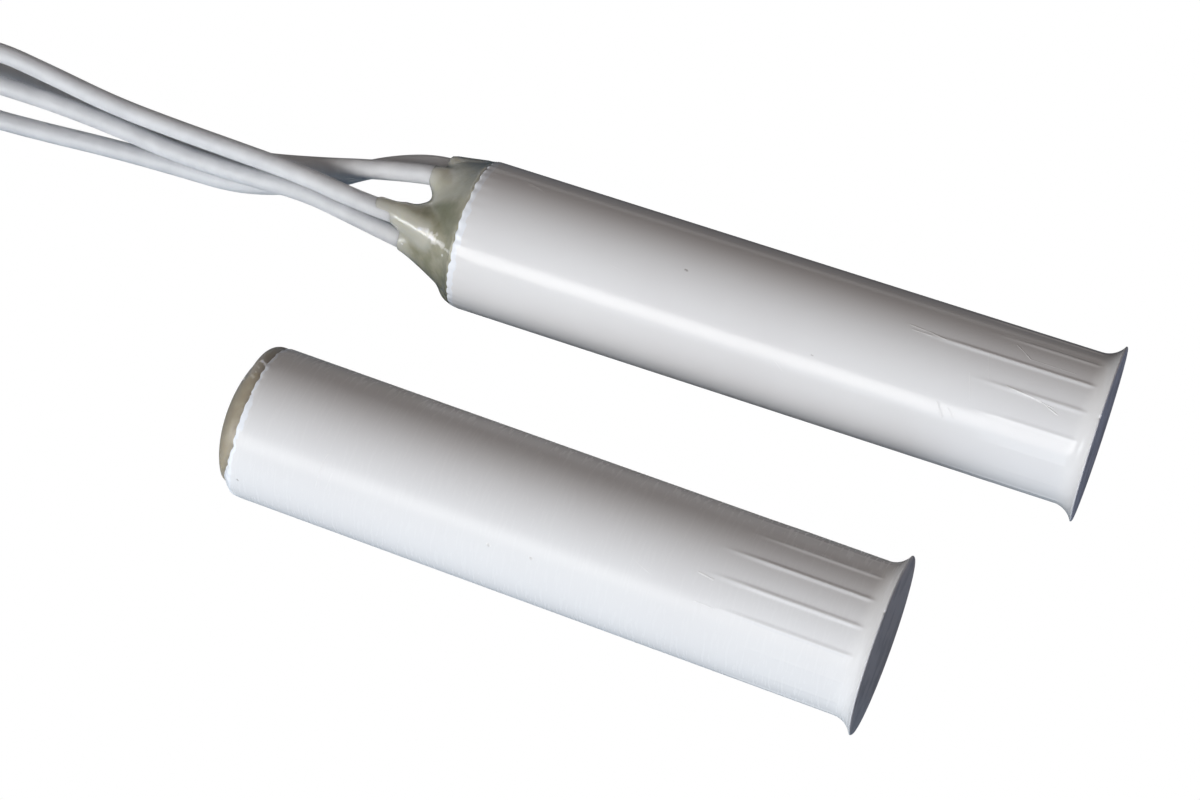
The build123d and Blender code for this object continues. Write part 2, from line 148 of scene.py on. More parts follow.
class Look:
    """The nodes of a material or of the world, added one by one with node()."""

    def __init__(self, owner):
        self.owner = owner
        self.owner.use_nodes = True
        self.tree = owner.node_tree

    def feed(self, socket, value):
        if isinstance(value, Value):
            self.tree.links.new(value.socket, socket)
        elif socket.type == "RGBA":
            socket.default_value = (*value, 1.0)
        else:
            socket.default_value = value

    def node(self, kind, settings, inputs, output=0):
        """Adds a node: first its settings, then the values or links of its sockets. Gives one output."""
        node = self.tree.nodes.new("ShaderNode" + kind)
        for name, setting in settings.items():
            setattr(node, name, setting)
        for name, value in inputs.items():
            self.feed(node.inputs[name], value)
        return Value(self, node.outputs[output])

    def fill(self, name, inputs):
        """Feeds the sockets of a node that is there from the start. Gives its output, if it has one."""
        node = self.tree.nodes[name]
        for socket, value in inputs.items():
            self.feed(node.inputs[socket], value)
        return Value(self, node.outputs[0]) if node.outputs else None

    def coordinates(self):
        return self.node("TexCoord", {}, {}, "Object")

    def millimetres(self):
        return self.vector("MULTIPLY", self.coordinates(), (1 / MM, 1 / MM, 1 / MM))

    def attribute(self, name):
        return self.node("Attribute", {"attribute_name": name}, {}, "Fac")

    def noise(self, place, scale, detail, roughness=0.5):
        grain = {"Scale": scale, "Detail": detail, "Roughness": roughness}
        return self.node("TexNoise", {}, {"Vector": place, **grain})

    def vector(self, operation, a, b, output="Vector"):
        return self.node("VectorMath", {"operation": operation}, {0: a, 1: b}, output)

    def most(self, a, b):
        return self.node("Math", {"operation": "MAXIMUM"}, {0: a, 1: b})

    def remap(self, value, low, high, to_low=0.0, to_high=1.0, kind="SMOOTHSTEP"):
        limits = {"From Min": low, "From Max": high, "To Min": to_low, "To Max": to_high}
        return self.node("MapRange", {"interpolation_type": kind}, {"Value": value, **limits})

    def mix(self, factor, a, b):
        """Colour a where the factor is 0 and b where it is 1. These are the Mix node's colour sockets."""
        return self.node("Mix", {"data_type": "RGBA"}, {0: factor, 6: a, 7: b}, 2)

    def bump(self, height, distance, strength, under=None):
        inputs = {"Height": height, "Distance": distance, "Strength": strength}
        if under is not None:
            inputs["Normal"] = under
        return self.node("Bump", {}, inputs)

    def marked(self, place, marks):
        """Where fine marks lie: each is a start and an end in the space of place, a half width, a strength."""
        ragged = self.remap(self.noise(place, 3.0, 2.0), 0.35, 0.65, 0.6, 1.8)
        strongest = 0.0
        for start, end, half, strength in marks:
            way = Vector(end) - Vector(start)
            off = self.vector("SUBTRACT", place, start)
            share = (self.vector("DOT_PRODUCT", off, way, "Value") / way.dot(way)).clamped()
            foot = self.node("VectorMath", {"operation": "SCALE"}, {0: way, "Scale": share}, "Vector")
            line = (1 - self.vector("DISTANCE", off, foot, "Value") / (ragged * half)).clamped()
            strongest = self.most(strongest, line * strength)
        return strongest


def barrel_matrix(flange, turn):
    """Places a barrel built along Z from its flange's face: Z is depth, Y the upper side."""
    into = Vector((-cos(turn) * cos(LEAN), -sin(turn) * cos(LEAN), -sin(LEAN)))
    aside = Vector((sin(turn), -cos(turn), 0.0))
    up = into.cross(aside)
    place = Matrix((aside, up, into)).transposed().to_4x4()
    place.translation = Vector((flange[0], flange[1], FLANGE_HEIGHT))
    return place


def shown(name, data, look):
    """New object with its origin at zero, riding on the one body."""
    piece = bpy.data.objects.new(name, data)
    bpy.context.collection.objects.link(piece)
    data.materials.append(look.owner)
    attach(piece, "root")
    return piece


def coil_turns():
    """Control points of the coil in plan: a spiral that winds inwards by one strand in each turn."""
    step = 360 / POINTS_PER_TURN
    for k in range(int(TURNS * POINTS_PER_TURN)):
        turned = step * (k + 0.5)
        radius = (COIL_RADIUS - STRAND_PITCH * turned / 360) / cos(radians(step / 2))
        angle = radians(FIRST_ANGLE + turned)
        yield (COIL_CENTRE[0] + radius * cos(angle), COIL_CENTRE[1] + radius * sin(angle))


def vinyl_insulation():
    """Grey-white vinyl: a dull sheen, light from within, faint mottling, some dirt and one dark scuff."""
    look = Look(bpy.data.materials.new("vinyl"))
    place = look.coordinates()
    mottle = look.noise(place, 900.0, 3.0)
    dirt = look.remap(look.noise(place, 160.0, 3.0, 0.6), 0.55, 0.75)
    grey = look.mix(look.remap(mottle, 0.3, 0.7), VINYL_DULL, VINYL_PALE)
    worn = look.mix(dirt * 0.25, grey, VINYL_DIRT)
    scuffed = look.marked(look.millimetres(), SCUFFS)
    look.fill("Principled BSDF", {
        "Base Color": look.mix(scuffed * 0.6, worn, SCUFF_DARK),
        "Roughness": look.remap(mottle, 0.3, 0.7, 0.42, 0.55),
        "Subsurface Weight": 1.0,
        "Subsurface Radius": (1.4 * MM, 1.4 * MM, 1.4 * MM),
        "Subsurface Scale": 1.0,
        "Normal": look.bump(mottle, 0.02 * MM, 0.4),
    })
    return look


SWITCH = barrel_matrix(SWITCH_FLANGE, 0.0)
vinyl = vinyl_insulation()
for layer, (name, (seat, leaves, way)) in enumerate(LEADS.items()):
    height = COIL_BASE + (layer + 0.5) * STRAND_PITCH
    level = [(LEAD_GATHER, COIL_START[1]), (COIL_FACE, COIL_START[1]), *coil_turns(), *HOOK]
    points = [SWITCH @ Vector((*seat, STRIP_DEPTH)), SWITCH @ Vector((*seat, MOUTH_DEPTH)), *way]
    points += [(x, y, height) for x, y in level]
    line = bpy.data.curves.new(name, "CURVE")
    line.dimensions = "3D"
    line.resolution_u = 12
    line.bevel_depth = LEAD_RADIUS * MM
    line.bevel_resolution = 8
    line.use_fill_caps = True
    spline = line.splines.new("NURBS")
    spline.points.add(len(points) - 1)
    for point, place in zip(spline.points, points):
        point.co = (*[value * MM for value in place], 1.0)
    spline.order_u = 3
    spline.use_endpoint_u = True
    wire = shown(name + "_wire", line, vinyl)
    [name.replace("lead", "tip")] + (["lead_tie"] if layer == 0 else [])
    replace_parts(wire, name)
    if layer == 0:
        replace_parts(wire, "lead_coil")


# Housings: the switch barrel and the magnet barrel are the same moulding in light grey plastic, with a closed
# front, a thin flared flange and seventeen crush ribs that grip the drilled hole. The back edges were trimmed
# by hand: the switch's is square and ragged, and the magnet's lies under its resin along the top.
MAGNET_FLANGE = (14.517, -7.51)
MAGNET_TURN = radians(-1.284)
BARREL_LENGTH = 34.1
BARREL_RADIUS = 4.0
FLANGE_RADIUS = 4.65
FLANGE_EDGE = 0.07
EDGE_ROUND = 0.02
FLARE_LENGTH = 1.15
BORE_RADIUS = 3.35
LIP_RADIUS = 3.45
FRONT_THICKNESS = 1.0
CORNER = 0.4
AXIS_RADIUS = 0.6
FACE_RINGS = (AXIS_RADIUS, 1.5, 2.6, 3.6, 4.3, 4.6)
FLARE_RINGS = 12
RIBBED_RINGS = np.linspace(1.3, 10.3, 31)
BODY_RINGS = np.linspace(12.0, 33.0, 8)
BORE_RINGS = (BARREL_LENGTH, 33.0, 20.0, FRONT_THICKNESS + CORNER)
NICK_DEPTH = 0.07
NICK_REACH = 0.15
NICK_SPREAD = 0.018
SHARP = radians(50)

# Crush ribs: each one in sight, by its number round the barrel, has a height as a share of a fresh rib's and
# the depth that it reaches. The ribs below take theirs from a short list in turn.
RIB_COUNT = 17
RIB_PITCH = 2 * pi / RIB_COUNT
RIB_PHASE = radians(8.9)
RIB_HEIGHT = 0.05
RIB_SPREAD = 0.145
RIB_FALL = 1.6
RIB_FOOT = 2.2
RIB_START = 0.7
RIB_GROW = 0.45
RIB_FADE = 2.5
RIB_ZONE_END = 10.1
COLUMNS_PER_RIB = 32
COLUMN = RIB_PITCH / COLUMNS_PER_RIB
SWITCH_RIBS = {5: (0.75, 6.6), 4: (1.0, 10.0), 3: (0.9, 6.8), 2: (0.55, 6.2), 1: (0.15, 6.0), 0: (0.1, 6.0)}
MAGNET_RIBS = {5: (1.0, 7.6), 4: (1.05, 8.6), 3: (1.15, 8.8), 2: (0.9, 8.0), 1: (0.4, 6.5), 0: (0.2, 6.0)}
RIBS_BELOW = [(0.6, 8.2), (0.8, 7.4), (0.7, 8.6), (0.5, 7.8)]

# Outlines of the back edges, as depth and radius, and how ragged they were trimmed. The magnet's is bare on
# its lower side, where it keeps the moulded chamfer.
SWITCH_END = [(33.75, 4.0), (33.95, 4.0), (34.08, 3.98), (34.13, 3.92), (34.13, 3.6)]
MAGNET_END = [(33.2, 4.0), (33.35, 4.0), (33.47, 3.97), (33.5, 3.88), (33.5, 3.5)]
CHAMFER_END = [(33.2, 4.0), (33.45, 4.0), (33.58, 3.95), (33.85, 3.7), (34.1, 3.45)]
RAGGED_DEPTH = 0.04
RAGGED_RADIUS = 0.02
BARE_END = radians(52)
BARE_FADE = radians(60)
BARE_AGAIN = radians(200)
BARE_AGAIN_FADE = radians(20)

# Wear: depth and angle in degrees at both ends of each mark, then its half width and strength
SWITCH_SCRATCHES = [
    ((5.11, 109.4), (4.25, 99.9), 0.030, 0.9), ((4.25, 99.9), (1.9, 99.6), 0.025, 0.4),
    ((2.89, 69.4), (2.08, 65.0), 0.030, 0.9), ((6.87, 75.1), (6.43, 56.0), 0.035, 0.25),
    ((10.5, 97.0), (9.4, 95.8), 0.040, 0.8), ((9.4, 95.8), (8.6, 93.8), 0.045, 0.9),
    ((10.3, 93.6), (9.3, 93.2), 0.035, 0.6), ((4.9, 73.5), (3.1, 70.6), 0.045, 0.8),
    ((3.7, 71.5), (2.4, 68.6), 0.035, 0.7), ((7.95, 47.0), (7.55, 38.0), 0.060, 0.8),
    ((7.35, 45.0), (7.0, 40.0), 0.060, 0.7), ((31.9, 119.2), (31.0, 115.4), 0.060, 0.7),
    ((31.6, 116.0), (30.8, 113.6), 0.050, 0.5), ((26.0, 70.0), (24.8, 67.5), 0.025, 0.25),
    ((16.5, 40.0), (15.9, 33.0), 0.030, 0.3), ((6.3, 93.0), (5.9, 75.0), 0.030, 0.2),
]
SWITCH_SPECKS = [((22.22, 83.8), (22.1, 83.4), 0.06, 1.0), ((14.7, 52.0), (14.6, 51.6), 0.04, 0.6)]
MAGNET_SCRATCHES = [
    ((28.6, 60.0), (28.75, 52.6), 0.030, 0.5), ((28.75, 52.6), (28.80, 33.0), 0.035, 0.6),
    ((28.1, 49.0), (28.25, 35.0), 0.030, 0.3), ((19.6, 37.5), (19.4, 36.8), 0.060, 0.8),
    ((17.4, 39.2), (17.2, 38.4), 0.070, 0.8), ((9.2, 70.5), (8.4, 69.0), 0.045, 0.8),
    ((8.9, 50.5), (7.9, 50.0), 0.040, 0.6), ((12.5, 64.0), (11.4, 58.0), 0.025, 0.3),
    ((22.0, 75.0), (21.2, 66.0), 0.025, 0.2),
]
MAGNET_SPECKS = [
    ((19.53, 37.2), (19.48, 36.9), 0.06, 1.0), ((17.32, 38.9), (17.27, 38.6), 0.07, 1.0),
    ((33.0, 14.2), (32.95, 13.6), 0.06, 0.9),
]
SCRATCH_WHITE = (0.95, 0.95, 0.95)
SPECK_BROWN = (0.25, 0.23, 0.22)
TRIMMED_PALE_AND_HIGHLIGHT = (0.80, 0.84, 0.90)
FACE_STAIN = (0.4, 0.36, 0.35)


def within(value, low=0.0, high=1.0):
    """The value, held between two limits."""
    return min(max(value, low), high)


def low_side(angle):
    """1 on the lower side of the magnet barrel, where its edge stays bare, 0 on its upper side."""
    turned = np.mod(angle + pi / 2, 2 * pi) - pi / 2
    front = np.clip((BARE_END - turned) / BARE_FADE, 0.0, 1.0)
    back = np.clip((turned - BARE_AGAIN) / BARE_AGAIN_FADE, 0.0, 1.0)
    return np.maximum(front * front * (3 - 2 * front), back)


def flare_radius(depth):
    """Radius of the concave flare behind the flange's edge, an arc that runs out on the barrel."""
    run = FLARE_LENGTH - FLANGE_EDGE
    rise = FLANGE_RADIUS - BARREL_RADIUS
    curve = (run * run + rise * rise) / (2 * rise)
    back = FLARE_LENGTH - depth
    return BARREL_RADIUS + curve - sqrt(max(curve * curve - back * back, 0.0))


def rib_rise(depth, angle, ribs):
    """How far the crush ribs lift the barrel's surface: thin ridges, each worn to its own length."""
    number = int(round((angle - RIB_PHASE) / RIB_PITCH)) % RIB_COUNT
    strength, end = ribs.get(number, RIBS_BELOW[number % len(RIBS_BELOW)])
    off = (angle - RIB_PHASE + RIB_PITCH / 2) % RIB_PITCH - RIB_PITCH / 2
    across = abs(off) * BARREL_RADIUS / RIB_SPREAD
    if depth > end or across > RIB_FOOT:
        return 0.0
    grow = within((depth - RIB_START) / RIB_GROW)
    fade = within((end - depth) / RIB_FADE)
    return RIB_HEIGHT * strength * grow * fade * exp(-RIB_FALL * across * across)


def ring_noise(seed, angle, waves):
    """Smooth random value round a ring, between about -1 and 1."""
    rng = np.random.default_rng(seed)
    total = 0.0
    for k in range(1, waves + 1):
        total += rng.normal() * np.cos(k * 3 * angle + rng.uniform(0, 2 * pi)) / sqrt(waves)
    return total


def placed(name, mesh, place):
    """Mesh data in metres, at its place in the frame."""
    mesh.transform(Matrix.Scale(MM, 4) @ place)
    data = bpy.data.meshes.new(name)
    mesh.to_mesh(data)
    mesh.free()
    return data


def housing_mesh(name, place, seed, ribs, nick, end):
    """The moulding: its profile spun through one rib's pitch, that strip spun round the barrel's axis, and the
    whole then ribbed, nicked and trimmed. Vertices keep their depth and angle as attributes for the marks."""
    front = [(0.0, radius) for radius in FACE_RINGS]
    front += [(EDGE_ROUND, FLANGE_RADIUS - EDGE_ROUND), (FLANGE_EDGE - EDGE_ROUND, FLANGE_RADIUS)]
    front += [(depth, flare_radius(depth)) for depth in np.linspace(FLANGE_EDGE, FLARE_LENGTH, FLARE_RINGS)]
    front += [(depth, BARREL_RADIUS) for depth in (*RIBBED_RINGS, *BODY_RINGS)]
    bore = [(BARREL_LENGTH, LIP_RADIUS - EDGE_ROUND)] + [(depth, BORE_RADIUS) for depth in BORE_RINGS]
    bore += [(FRONT_THICKNESS, BORE_RADIUS - CORNER), (FRONT_THICKNESS, AXIS_RADIUS)]
    profile = front + end + bore

    mesh = bmesh.new()
    along = mesh.verts.layers.float.new("along")
    around = mesh.verts.layers.float.new("around")
    number = mesh.verts.layers.int.new("number")
    line = [mesh.verts.new((0.0, -radius, depth)) for depth, radius in profile]
    for step, vertex in enumerate(line):
        vertex[number] = step
    for one, two in zip(line, line[1:]):
        mesh.edges.new((one, two))
    bmesh.ops.spin(
        mesh, geom=mesh.verts[:] + mesh.edges[:], axis=(0, 0, 1), angle=RIB_PITCH, steps=COLUMNS_PER_RIB,
    )
    bmesh.ops.spin(
        mesh, geom=mesh.verts[:] + mesh.edges[:] + mesh.faces[:], axis=(0, 0, 1),
        angle=2 * pi - RIB_PITCH, steps=RIB_COUNT - 1, use_duplicate=True,
    )
    bmesh.ops.remove_doubles(mesh, verts=mesh.verts, dist=0.001)
    bmesh.ops.holes_fill(mesh, edges=mesh.edges)

    for vertex in mesh.verts:
        step = vertex[number]
        depth, radius = profile[step]
        turned = (atan2(vertex.co.y, vertex.co.x) + pi / 2) / COLUMN
        angle = COLUMN * (round(turned) % (RIB_COUNT * COLUMNS_PER_RIB)) - pi / 2
        u, r = depth, radius
        if radius > FLANGE_RADIUS - NICK_REACH:
            r -= NICK_DEPTH * exp(-((angle - radians(nick)) / NICK_SPREAD) ** 2)
        if RIB_START < depth < RIB_ZONE_END and step < len(front):
            r += rib_rise(depth, angle, ribs)
        in_end = step - len(front)
        if 0 <= in_end < len(end) and end is MAGNET_END:
            low = float(low_side(angle))
            u += low * (CHAMFER_END[in_end][0] - depth)
            r += low * (CHAMFER_END[in_end][1] - radius)
        if 1 <= in_end <= 3:
            u += RAGGED_DEPTH * ring_noise(seed, angle, 14)
            r += RAGGED_RADIUS * (ring_noise(seed + 1, angle, 20) - 0.8)
        vertex.co = (r * cos(angle), r * sin(angle), u)
        vertex[along] = depth
        vertex[around] = angle
    mesh.verts.layers.int.remove(number)
    bmesh.ops.recalc_face_normals(mesh, faces=mesh.faces)
    for face in mesh.faces:
        face.smooth = True
    for edge in mesh.edges:
        edge.smooth = edge.calc_face_angle(0.0) <= SHARP
    return placed(name, mesh, place)


def on_skin(marks):
    """Marks given by depth and angle, laid out on the barrel's unrolled skin."""
    return [
        [(depth, radians(angle) * BARREL_RADIUS, 0) for depth, angle in ends] + [half, strength]
        for *ends, half, strength in marks
    ]


def moulded_plastic(name, shift, scratches, specks, trimmed, gloss, satin, light, dark, front):
    """Light grey moulded plastic: a soft satin, faint clouding, scratches, specks, a stained front face in its
    own front tone, and a paler, bluish trimmed edge from the given depth on, partly the cut plastic and partly
    a painted highlight.
    Shift sets one barrel's clouding apart from the other's."""
    look = Look(bpy.data.materials.new(name))
    place = look.coordinates()
    depth = look.attribute("along")
    moved = look.node("Mapping", {}, {"Vector": place, "Location": (shift, 0, 0)})
    body = look.mix(look.remap(look.noise(moved, 120.0, 3.0), 0.25, 0.75), light, dark)
    face = look.remap(depth, 0.0, 0.02, 1.0, 0.0)
    stain = look.remap(look.noise(place, 700.0, 3.0), 0.45, 0.65, 0.0, 0.45)
    faced = look.mix(face, body, look.mix(stain, front, FACE_STAIN))
    # Partly real, partly painted highlight: the trimmed edge turns pale and bluish, the cut plastic and the
    # light on its rim
    ragged = look.remap(look.noise(place, 1100.0, 3.0), 0.3, 0.7, -0.12, 0.12)
    pale = look.remap(depth + ragged, trimmed, trimmed + 0.1)
    trimmed_and_lit = look.mix(pale * 0.9, faced, TRIMMED_PALE_AND_HIGHLIGHT)
    skin = look.node("CombineXYZ", {}, {"X": depth, "Y": look.attribute("around") * BARREL_RADIUS})
    scratched = look.marked(skin, on_skin(scratches))
    spotted = look.mix(look.marked(skin, on_skin(specks)) * 0.8, trimmed_and_lit, SPECK_BROWN)
    rings = look.node("Mapping", {}, {"Vector": skin, "Scale": (6.0, 0.7, 1.0)})
    rubbed = look.remap(look.noise(rings, 1.0, 3.0), 0.3, 0.7, *satin)
    look.fill("Principled BSDF", {
        "Base Color": look.mix(scratched * 0.55, spotted, SCRATCH_WHITE),
        "Roughness": look.most(rubbed, face * 0.35),
        "Specular IOR Level": gloss,
        "Normal": look.bump(scratched, 0.02 * MM, 0.8),
    })
    return look


MAGNET = barrel_matrix(MAGNET_FLANGE, MAGNET_TURN)
# The switch's front tone is paler and bluer than its body: painted light on the shaded flange face
switch_plastic = moulded_plastic(
    "switch_plastic", 0.0, SWITCH_SCRATCHES, SWITCH_SPECKS, trimmed=33.72, gloss=0.23, satin=(0.15, 0.21),
    light=(0.76, 0.77, 0.785), dark=(0.73, 0.735, 0.75), front=(0.95, 0.90, 0.98),
)
# The magnet's body tones are a little darker than the switch's: painted shade on the same moulding. Its front
# tone is warmer.
magnet_plastic_shaded = moulded_plastic(
    "magnet_plastic_shaded", 3.0, MAGNET_SCRATCHES, MAGNET_SPECKS, trimmed=33.2, gloss=0.14, satin=(0.262, 0.278),
    light=(0.73, 0.74, 0.755), dark=(0.705, 0.71, 0.725), front=(0.76, 0.69, 0.67),
)
for node, place, seed, ribs, nick, end, plastic in (
    ("switch_housing", SWITCH, 5, SWITCH_RIBS, 70.6, SWITCH_END, switch_plastic),
    ("magnet_housing", MAGNET, 11, MAGNET_RIBS, 85.0, MAGNET_END, magnet_plastic_shaded),
):
    fine = housing_mesh(node + "_fine", place, seed, ribs, nick, end)
    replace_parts(shown(node + "_fine", fine, plastic), node)


# Resin of the switch: olive potting compound, a little cloudy, poured round the reed into the barrel's bore.
# It was drawn up the two pairs of leads in necks, with an open web between them, and set there.
RESIN_RADIUS = BORE_RADIUS - 0.005
RIM_RADIUS = 3.72
RIM_DEPTH = 34.1
RESIN_BASE = 33.4
RESIN_EDGE = 3.9
RESIN_RAGGED = 0.03
TENT_SLOPE = 0.7
CELL = 0.1
SPECKLE = (0.46, 0.45, 0.36)
MURK = (0.12, 0.13, 0.07)
PAINTED_GLINT_WHITE = (0.95, 0.95, 0.95)

# Painted highlights on the switch's resin, glints and a streak along the ridge: both ends in the shared frame,
# a half width and a strength
SWITCH_PAINTED_GLINTS = [
    ((-15.5, 5.828, 5.62), (-14.99, 5.613, 5.833), 0.14, 0.7),
    ((-14.99, 5.613, 5.833), (-14.454, 5.347, 6.031), 0.24, 1.0),
    ((-14.454, 5.347, 6.031), (-13.453, 4.67, 6.411), 0.13, 0.8),
    ((-13.78, 4.65, 5.88), (-13.74, 4.65, 5.91), 0.07, 0.9),
    ((-16.6, 5.52, 4.13), (-16.4, 5.52, 4.08), 0.07, 0.8),
]

# Where the resin is only a film on a lead or on the ridge beside one, as lines in the barrel's own frame with
# the distance over which it thickens. Along the top edge it is made paler as well, painted light; it is
# murkiest along one line.
FILM_LINES = [
    ((-2.5, 0.65, 33.5), (-3.0, 0.66, 36.7), 1.3),
    ((-1.8, 1.5, 33.5), (-1.87, 1.27, 37.2), 1.3),
    ((0.95, 0.65, 33.5), (0.52, 0.62, 39.2), 0.5),
    ((1.85, -0.25, 33.5), (1.43, -0.32, 37.8), 0.5),
    ((1.8, 1.4, 36.2), (0.8, 0.75, 39.2), 0.5),
]
TOP_EDGE = radians(82)
TOP_EDGE_FADE = radians(18)
MURK_LINE = ((-0.2, 1.95, 36.1), (1.6, 2.95, 34.6))
MURK_SPREAD = 0.8


def round_cone(points, start, end, radius_start, radius_end):
    """Distance to a cone with round ends between two points."""
    start = np.array(start)
    way = np.array(end) - start
    share = np.clip(((points - start) @ way) / (way @ way), 0.0, 1.0)
    nearest = start + share[..., None] * way
    return np.linalg.norm(points - nearest, axis=-1) - (radius_start + (radius_end - radius_start) * share)


def melt(one, two, reach):
    """Union of two distances with a smooth fillet between them."""
    share = np.clip(0.5 + 0.5 * (two - one) / reach, 0.0, 1.0)
    return two * (1 - share) + one * share - reach * share * (1 - share)


def drawn_out(points, end, end_radius, hollow, root_radius=RIM_RADIUS):
    """Distance to resin drawn from the round rim to one lead, straight or hollow in its flanks."""
    x, y, u = points[..., 0], points[..., 1], points[..., 2]
    share = np.clip((u - RIM_DEPTH) / (end[2] - RIM_DEPTH), 0.0, 1.0)
    radius = end_radius + (root_radius - end_radius) * (1 - share) ** hollow
    side = np.hypot(x - end[0] * share, y - end[1] * share) - radius
    return np.maximum(side * TENT_SLOPE, np.maximum(u - end[2], RESIN_BASE - u))


def switch_resin(points):
    """Distance to the resin on the switch: a tent from the rim to the leads, open between the pairs."""
    x, y = points[..., 0], points[..., 1]
    alarm_a = drawn_out(points, (-2.98, 0.74, 36.7), 0.60, 1.05, root_radius=3.8)
    alarm_b = drawn_out(points, (-1.9, 1.26, 37.2), 0.57, 1.25)
    tamper_a = drawn_out(points, (0.57, 0.6, 37.9), 0.59, 1.5)
    tamper_b = drawn_out(points, (1.43, -0.36, 37.8), 0.60, 1.1)
    brow = round_cone(points, (-2.95, 1.6, 34.1), (-2.98, 0.9, 36.2), 0.62, 0.6)
    sleeve = round_cone(points, (-1.75, 1.5, 33.9), (-1.87, 1.27, 36.6), 0.75, 0.6)
    film = round_cone(points, (0.85, 0.62, 34.0), (0.5, 0.63, 39.2), 0.78, 0.52)
    ridge = round_cone(points, (1.98, 1.62, 33.6), (0.6, 0.54, 37.9), 1.2, 0.68)
    foot = round_cone(points, (1.5, -2.7, 34.35), (2.7, -1.7, 34.35), 0.85, 0.6)
    alarm = melt(melt(melt(alarm_a, brow, 0.2), alarm_b, 0.3), sleeve, 0.2)
    tamper = melt(melt(melt(melt(tamper_a, tamper_b, 0.3), film, 0.2), foot, 0.6), ridge, 0.3)
    edge = RESIN_EDGE + RESIN_RAGGED * ring_noise(21, np.arctan2(y, x), 16)
    return np.maximum(melt(alarm, tamper, 0.5), np.hypot(x, y) - edge)


def from_line(point, start, end):
    """Distance from a point to the line between two others."""
    start, end = Vector(start), Vector(end)
    share = within((point - start).dot(end - start) / (end - start).length_squared)
    return (point - start.lerp(end, share)).length


def film_and_painted_top_light(point):
    """1 where the resin is only a film on a lead, 0 where it is thick, and up to 0.7 along the top edge as
    painted light.
    """
    nearest = min((from_line(point, start, end) - LEAD_RADIUS) / fade for start, end, fade in FILM_LINES)
    # Painted light: the resin turns paler along the top edge
    painted_top_light = within((atan2(point.y, point.x) - TOP_EDGE) / TOP_EDGE_FADE, 0.0, 0.7)
    return min(max(1.0 - nearest, painted_top_light), 1.0)


def murk_near_web(point):
    """The darkest, thickest part of the resin, from the open web down to the rim."""
    return 0.75 * exp(-(from_line(point, *MURK_LINE) / MURK_SPREAD) ** 2)


def no_murk(point):
    """The magnet's resin is clear all through."""
    return 0.0


def crossings(values, shape):
    """For each cell of the grid, how many of its edges the surface crosses and the sum of the crossings."""
    corners = [(i, j, k) for i in (0, 1) for j in (0, 1) for k in (0, 1)]
    pairs = [(a, b) for a in corners for b in corners if a < b and sum(abs(p - q) for p, q in zip(a, b)) == 1]
    total = np.zeros((*shape, 3))
    count = np.zeros(shape)
    for a, b in pairs:
        at_a = values[a[0]:a[0] + shape[0], a[1]:a[1] + shape[1], a[2]:a[2] + shape[2]]
        at_b = values[b[0]:b[0] + shape[0], b[1]:b[1] + shape[1], b[2]:b[2] + shape[2]]
        crossed = (at_a < 0) != (at_b < 0)
        share = np.where(crossed, at_a / np.where(crossed, at_a - at_b, 1.0), 0.0)
        total += crossed[..., None] * (np.array(a) + share[..., None] * (np.array(b) - np.array(a)))
        count += crossed
    return total, count


def resin_surface(field, low, high):
    """Mesh of the zero level of a distance field, one vertex in each cell that the surface crosses.

    No operator of bmesh melts shapes into one another as poured resin does, so its skin is made here.
    """
    axes = [np.arange(a, b + CELL, CELL) for a, b in zip(low, high)]
    values = field(np.stack(np.meshgrid(*axes, indexing="ij"), axis=-1))
    inside = values < 0
    shape = np.array(values.shape) - 1
    total, count = crossings(values, shape)
    held = count > 0
    number = np.full(shape, -1)
    number[held] = np.arange(held.sum())
    spots = (np.argwhere(held) + total[held] / count[held][:, None]) * CELL + np.array(low)
    mesh = bmesh.new()
    vertices = [mesh.verts.new(spot) for spot in spots]
    for axis, side, up in ((0, 1, 2), (1, 2, 0), (2, 0, 1)):
        first = np.take(inside, range(0, inside.shape[axis] - 1), axis)
        second = np.take(inside, range(1, inside.shape[axis]), axis)
        for spot in np.argwhere(first != second):
            if not (1 <= spot[side] < shape[side] and 1 <= spot[up] < shape[up]):
                continue
            ring = []
            for ds, du in ((0, 0), (-1, 0), (-1, -1), (0, -1)):
                near = spot.copy()
                near[side] += ds
                near[up] += du
                ring.append(vertices[number[tuple(near)]])
            if not inside[tuple(spot)]:
                ring.reverse()
            mesh.faces.new(ring)
    for face in mesh.faces:
        face.smooth = True
    return mesh


def potting(name, node, place, look, field, low, high, plug_end, film_and_lit_top, murky):
    """One barrel's resin: its skin and the plug in the bore. Its film share, with painted light on the switch's
    top edge, and how murky it is go in attributes.
    """
    mesh = resin_surface(field, low, high)
    plug = bmesh.ops.create_cone(
        mesh, cap_ends=True, segments=96, radius1=RESIN_RADIUS, radius2=RESIN_RADIUS,
        depth=plug_end - FRONT_THICKNESS,
    )
    bmesh.ops.translate(mesh, verts=plug["verts"], vec=(0, 0, (plug_end + FRONT_THICKNESS) / 2))
    layers = [(mesh.verts.layers.float.new(title), rule) for title, rule in (("film_and_lit_top", film_and_lit_top), ("murky", murky))]
    for vertex in mesh.verts:
        for layer, rule in layers:
            vertex[layer] = rule(vertex.co)
    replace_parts(shown(name, placed(name, mesh, place), look), node)


